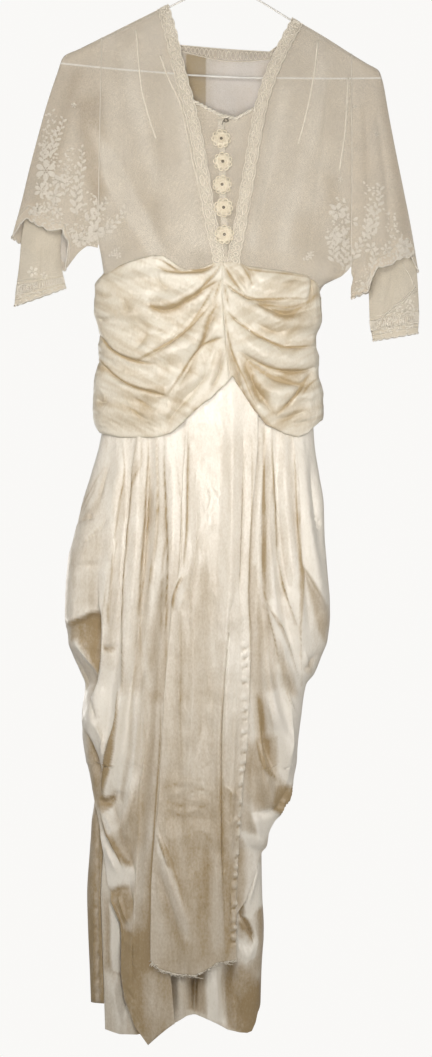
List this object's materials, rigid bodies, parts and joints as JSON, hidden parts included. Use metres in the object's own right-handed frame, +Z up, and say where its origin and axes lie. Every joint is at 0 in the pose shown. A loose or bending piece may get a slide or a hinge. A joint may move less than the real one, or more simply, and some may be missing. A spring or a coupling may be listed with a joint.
{
  "type": "edwardian hobble gown on a wire hanger",
  "caption": "Hobble gown hung on a wire hanger: sheer net bodice with short layered sleeves, ruched satin girdle and a draped satin skirt that narrows to the hem.",
  "frame": {"origin": "underside of the crown of the hanger's hook, where it bears on a rail", "axes": "+Z up, the gown's front faces -Y, +X is to the viewer's right, the wearer's left"},
  "size_m": [0.5299, 0.1353, 1.4643],
  "materials": {
    "satin": "heavy ivory silk satin, soft sheen, creased",
    "net": "fine ivory cotton net, sheer, with floral embroidery on the sleeves",
    "lace": "narrow ivory lace edging and lace bands",
    "crochet": "crocheted cotton thread",
    "hanger_wire": "white painted steel wire, semi-gloss"
  },
  "bodies": {
    "root": {"hanger": "hanger_wire", "bodice_front_l": "net", "bodice_front_r": "net", "bodice_back": "net", "chemisette": "net", "sleeve_l": "net", "sleeve_r": "net", "undersleeve_l": "lace", "undersleeve_r": "lace", "neck_band": "lace", "lace_edge_l": "lace", "lace_edge_r": "lace", "button_tab": "lace", "button_1": "crochet", "button_2": "crochet", "button_3": "crochet", "button_4": "crochet", "button_5": "crochet", "girdle_front_l": "satin", "girdle_front_r": "satin", "girdle_back": "satin", "front_panel": "satin", "drape_l": "satin", "drape_r": "satin", "skirt_back": "satin", "underskirt": "satin"}
  },
  "joints": []
}
